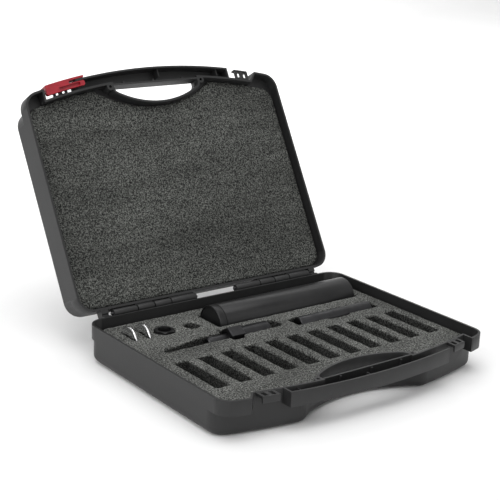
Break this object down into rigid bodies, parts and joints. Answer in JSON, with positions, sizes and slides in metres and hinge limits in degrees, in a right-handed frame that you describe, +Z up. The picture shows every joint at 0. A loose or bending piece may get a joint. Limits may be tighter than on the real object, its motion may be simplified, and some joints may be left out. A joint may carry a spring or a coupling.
{
  "type": "hole punch tool case",
  "caption": "Open carrying case for hole-punch tools: hinged half shells with a bowed handle, a sliding latch, slotted foam and loose steel tools.",
  "frame": {"origin": "middle of the flat underside of the lower shell, midway between its side walls", "axes": "+Z up from the flat underside, -Y towards the handle, +Y towards the hinge and the open lid, +X to the right seen from the handle"},
  "size_m": [0.34, 0.4314, 0.2749],
  "materials": {
    "shell": "fine satin texture",
    "foam": "speckled grey open foam",
    "latch": "semi-gloss moulded red",
    "steel": "dark ground steel",
    "polished": "polished",
    "black_steel": "satin black oxide"
  },
  "bodies": {
    "base": {"base_tray": "shell", "base_grip": "shell", "base_catch_plate": "shell", "base_latch_plate": "shell", "base_hinge_leaf_left": "shell", "base_hinge_leaf_right": "shell", "hinge_pin_left": "steel", "hinge_pin_right": "steel", "base_foam_pad": "foam", "base_foam_front": "foam", "base_foam_rear": "foam"},
    "lid": {"lid_tray": "shell", "lid_grip": "shell", "lid_catch_plate": "shell", "lid_latch_plate": "shell", "lid_hinge_leaf_left": "shell", "lid_hinge_leaf_right": "shell", "lid_foam": "foam"},
    "latch": {"latch_slider": "latch"},
    "holder": {"holder_tube": "black_steel", "holder_cap": "black_steel"},
    "rod": {"guide_rod": "steel"},
    "driver": {"driver_handle": "steel", "driver_shank": "steel"},
    "disc_left": {"disc_left": "polished"},
    "disc_right": {"disc_right": "polished"},
    "nut": {"hex_nut": "black_steel"}
  },
  "joints": [
    {"name": "lid_hinge", "type": "hinge", "parent": "base", "child": "lid", "pos_m": [0, 0.129, 0.041], "axis": [-1, 0, 0], "range_deg": [-120.3, 0]},
    {"name": "latch_slide", "type": "slide", "parent": "lid", "child": "latch", "axis": [0.9846, 0.0883, 0.1511], "range_m": [0, 0.008]},
    {"name": "holder_lift", "type": "slide", "parent": "base", "child": "holder", "axis": [0, 0, 1], "range_m": [0, 0.06]},
    {"name": "rod_lift", "type": "slide", "parent": "base", "child": "rod", "axis": [0, 0, 1], "range_m": [0, 0.06]},
    {"name": "driver_lift", "type": "slide", "parent": "base", "child": "driver", "axis": [0, 0, 1], "range_m": [0, 0.06]},
    {"name": "disc_left_lift", "type": "slide", "parent": "base", "child": "disc_left", "axis": [0, 0, 1], "range_m": [0, 0.06]},
    {"name": "disc_right_lift", "type": "slide", "parent": "base", "child": "disc_right", "axis": [0, 0, 1], "range_m": [0, 0.06]},
    {"name": "nut_lift", "type": "slide", "parent": "base", "child": "nut", "axis": [0, 0, 1], "range_m": [0, 0.06]}
  ]
}
